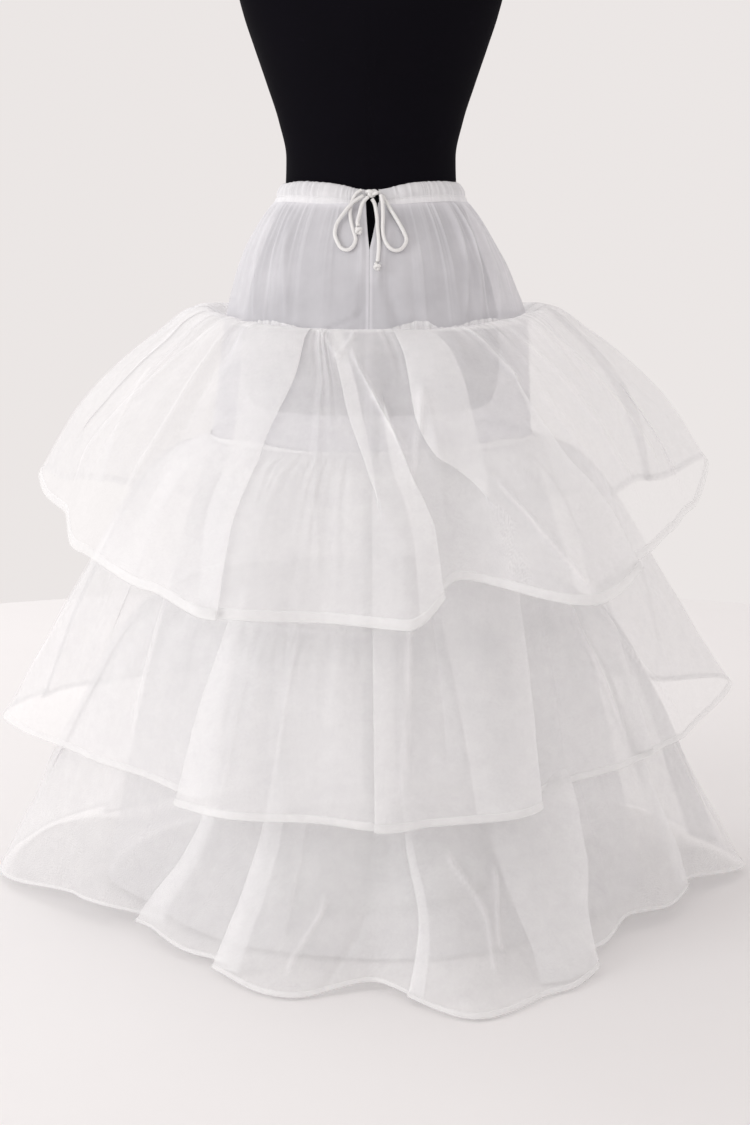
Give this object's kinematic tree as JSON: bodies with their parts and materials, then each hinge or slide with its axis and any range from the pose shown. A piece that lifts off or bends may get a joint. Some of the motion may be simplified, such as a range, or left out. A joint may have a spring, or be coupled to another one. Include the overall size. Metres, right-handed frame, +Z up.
{
  "type": "cancan skirt on a dress form",
  "caption": "Flared net underskirt with tiers of stiff flounces, bound hems, a gathered yoke and a tied drawcord, standing on a limbless dress form with a round base.",
  "frame": {"origin": "centre of the stand base's underside, on the floor under the pole", "axes": "+Z up along the pole and the dress form, -Y towards the skirt's front slit and bow, +X to the right as seen from the front"},
  "size_m": [1.1032, 1.0866, 1.4843],
  "materials": {
    "casing_cloth": "soft woven cloth, gathered, satin sheen",
    "yoke_cloth": "thin semi-sheer woven cloth, matt",
    "net": "stiff fine net, sheer, matt",
    "binding": "satin tape, soft sheen",
    "drawcord": "braided cotton cord, matt",
    "form_cover": "smooth knitted cover, matt",
    "form_cap": "smooth moulded cap, semi-matt",
    "stand_metal": "painted white, semi-gloss"
  },
  "bodies": {
    "root": {"waist_casing": "casing_cloth", "yoke_left": "yoke_cloth", "yoke_right": "yoke_cloth", "tier_1_net": "net", "tier_2_net": "net", "tier_3_net": "net", "under_layer": "net", "tier_1_binding": "binding", "tier_2_binding": "binding", "tier_3_binding": "binding", "cord_bridge": "drawcord", "cord_loop_left": "drawcord", "cord_loop_right": "drawcord", "cord_tail_left": "drawcord", "cord_tail_right": "drawcord", "bow_knot": "drawcord", "end_knot_left": "drawcord", "end_knot_right": "drawcord", "form_torso": "form_cover", "form_neck_cap": "form_cap", "form_pole": "stand_metal", "form_base": "stand_metal"}
  },
  "joints": []
}
